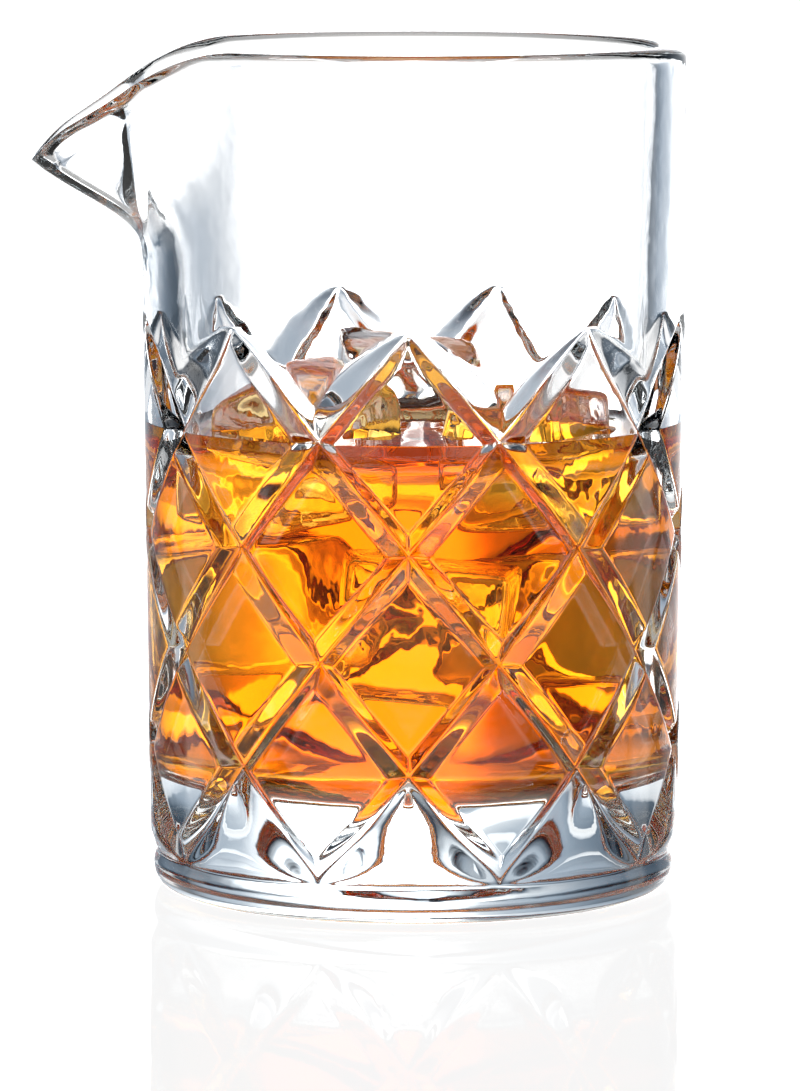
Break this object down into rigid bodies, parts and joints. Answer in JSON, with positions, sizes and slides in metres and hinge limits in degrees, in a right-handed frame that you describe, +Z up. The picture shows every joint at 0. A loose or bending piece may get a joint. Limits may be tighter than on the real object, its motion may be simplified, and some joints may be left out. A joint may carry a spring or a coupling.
{
  "type": "mixing glass",
  "caption": "Heavy pressed-glass stirring vessel with a beaked pouring spout and a band of crossing V-grooves, shown holding an amber drink over clear ice.",
  "frame": {"origin": "centre of the base, on the vessel's axis, at the height of the surface it stands on", "axes": "+Z up the vessel's axis, -X towards the spout's tip, -Y the front as it faces the viewer"},
  "size_m": [0.1099, 0.092, 0.142],
  "materials": {
    "clear_glass": "polished, clear and colourless with a faint cool tint in its thick parts",
    "amber_drink": "clear amber liquid, pale gold where thin and red-brown where deep",
    "ice": "wet clear ice with a few cloudy cracks"
  },
  "bodies": {
    "vessel": {"glass_body": "clear_glass", "drink": "amber_drink"},
    "ice_4": {"ice_cube_4": "ice"},
    "ice_1": {"ice_cube_1": "ice"},
    "ice_2": {"ice_cube_2": "ice"},
    "ice_3": {"ice_cube_3": "ice"},
    "ice_5": {"ice_cube_5": "ice"},
    "ice_6": {"ice_cube_6": "ice"}
  },
  "joints": [
    {"name": "stir", "type": "hinge", "parent": "vessel", "child": "ice_4", "pos_m": [0, 0, 0.0185], "axis": [0, 0, 1], "continuous": true, "deforming": ["drink"]},
    {"name": "lift_ice_1", "type": "slide", "parent": "ice_4", "child": "ice_1", "axis": [0, 0, 1], "range_m": [0, 0.09], "deforming": ["drink"]},
    {"name": "lift_ice_2", "type": "slide", "parent": "ice_4", "child": "ice_2", "axis": [0, 0, 1], "range_m": [0, 0.09], "deforming": ["drink"]},
    {"name": "lift_ice_3", "type": "slide", "parent": "ice_4", "child": "ice_3", "axis": [0, 0, 1], "range_m": [0, 0.09], "deforming": ["drink"]},
    {"name": "dip_ice_5", "type": "slide", "parent": "ice_4", "child": "ice_5", "axis": [0, 0, -1], "range_m": [0, 0.008], "deforming": ["drink"]},
    {"name": "dip_ice_6", "type": "slide", "parent": "ice_4", "child": "ice_6", "axis": [0, 0, -1], "range_m": [0, 0.008], "deforming": ["drink"]}
  ]
}
